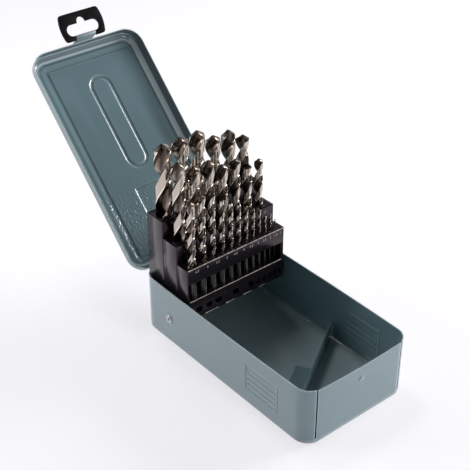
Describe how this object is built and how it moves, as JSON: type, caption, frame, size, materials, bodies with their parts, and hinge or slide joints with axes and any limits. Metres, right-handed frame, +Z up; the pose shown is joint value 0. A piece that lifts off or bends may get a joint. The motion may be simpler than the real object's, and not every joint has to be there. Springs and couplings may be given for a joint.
{
  "type": "drill bit case",
  "caption": "Open sheet-steel drill bit case with a hinged embossed lid, a swinging hang tab and a tilting stepped rack of twist drills.",
  "frame": {"origin": "middle of the tray's footprint, on the surface that the case stands on", "axes": "+X from the hinge to the tray's front wall, +Y across the case, +Z up"},
  "size_m": [0.3318, 0.1018, 0.1986],
  "materials": {
    "case_steel": "satin blue-grey enamel on sheet steel",
    "rack_steel": "semi-gloss black",
    "drill_steel": "ground and rolled high-speed steel",
    "bright_steel": "plain bright steel",
    "tab_plastic": "fine matt black moulding"
  },
  "bodies": {
    "case": {"tray_body": "case_steel", "drill_stop": "case_steel", "rack_rest": "case_steel", "pivot_rivets": "bright_steel", "pivot_spacers": "bright_steel", "tray_hinge_leaf": "case_steel", "hinge_pin": "bright_steel"},
    "rack": {"rack_cradle": "rack_steel", "guide_plate": "rack_steel", "small_drill_seat": "rack_steel", "tier_back": "rack_steel", "tier_middle": "rack_steel", "tier_front": "rack_steel", "drill_10_0": "drill_steel", "drill_10_5": "drill_steel", "drill_11_0": "drill_steel", "drill_11_5": "drill_steel", "drill_12_0": "drill_steel", "drill_12_5": "drill_steel", "drill_13_0": "drill_steel", "drill_1_0": "drill_steel", "drill_1_5": "drill_steel", "drill_2_0": "drill_steel", "drill_2_5": "drill_steel", "drill_3_0": "drill_steel", "drill_3_5": "drill_steel", "drill_4_0": "drill_steel", "drill_4_5": "drill_steel", "drill_5_0": "drill_steel", "drill_5_5": "drill_steel", "drill_6_0": "drill_steel", "drill_6_5": "drill_steel", "drill_7_0": "drill_steel", "drill_7_5": "drill_steel", "drill_8_0": "drill_steel", "drill_8_5": "drill_steel", "drill_9_0": "drill_steel", "drill_9_5": "drill_steel"},
    "lid": {"lid_pan": "case_steel", "lid_hinge_leaf": "case_steel", "hanger_tongue": "case_steel"},
    "hang_tab": {"hanger": "tab_plastic"}
  },
  "joints": [
    {"name": "rack_tilt", "type": "hinge", "parent": "case", "child": "rack", "pos_m": [-0.0588, 0, 0.0213], "axis": [0, 1, 0], "range_deg": [0, 90]},
    {"name": "lid_hinge", "type": "hinge", "parent": "case", "child": "lid", "pos_m": [-0.0954, 0, 0.0419], "axis": [0, 1, 0], "range_deg": [0, 135.6]},
    {"name": "hanger_swing", "type": "hinge", "parent": "lid", "child": "hang_tab", "pos_m": [-0.22662, 0, 0.18146], "axis": [0, 1, 0], "range_deg": [-98, 76]}
  ],
  "couplings": [
    {"joint": "lid_hinge", "follows": "rack_tilt", "ratio": 1.5066}
  ]
}
